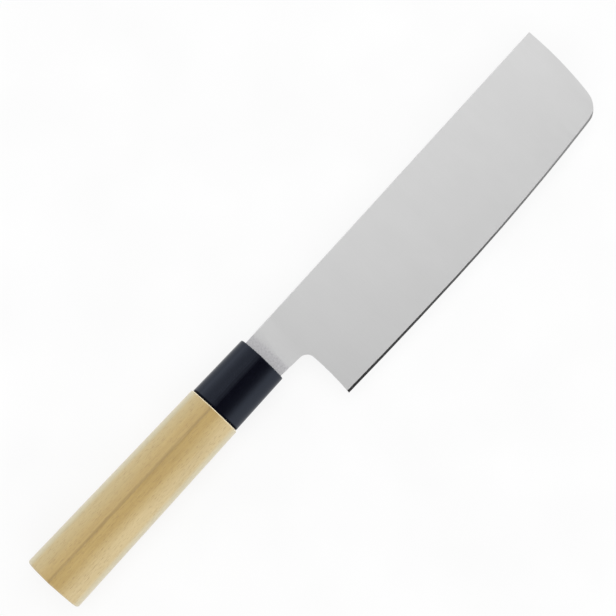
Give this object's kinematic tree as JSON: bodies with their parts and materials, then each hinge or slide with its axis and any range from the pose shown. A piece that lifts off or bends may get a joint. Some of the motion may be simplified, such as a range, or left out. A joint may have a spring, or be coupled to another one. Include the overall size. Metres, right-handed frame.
{
  "type": "nakiri knife",
  "caption": "Square-ended vegetable knife with a flat-ground steel blade, a black ferrule and a pale wooden D-section handle on a hidden tang.",
  "frame": {"origin": "bottom centre of the knife's box, with the knife lying on its left side and its blade level", "axes": "+X from the butt to the tip along the handle's axis, +Y from the cutting edge to the spine, +Z from the blade's left side to its right side"},
  "size_m": [0.3046, 0.0504, 0.0205],
  "materials": {
    "blade_steel": "satin, with a finer, darker polish on the edge bevels",
    "handle_wood": "sanded smooth, thin satin sheen",
    "ferrule_plastic": "satin black",
    "bedding_resin": "cured amber resin, hidden",
    "sealing_resin": "cured black resin, flush with the ferrule's face"
  },
  "bodies": {
    "root": {"blade": "blade_steel", "wood_handle": "handle_wood", "ferrule": "ferrule_plastic", "tang_adhesive": "bedding_resin", "mouth_seal": "sealing_resin"}
  },
  "joints": []
}
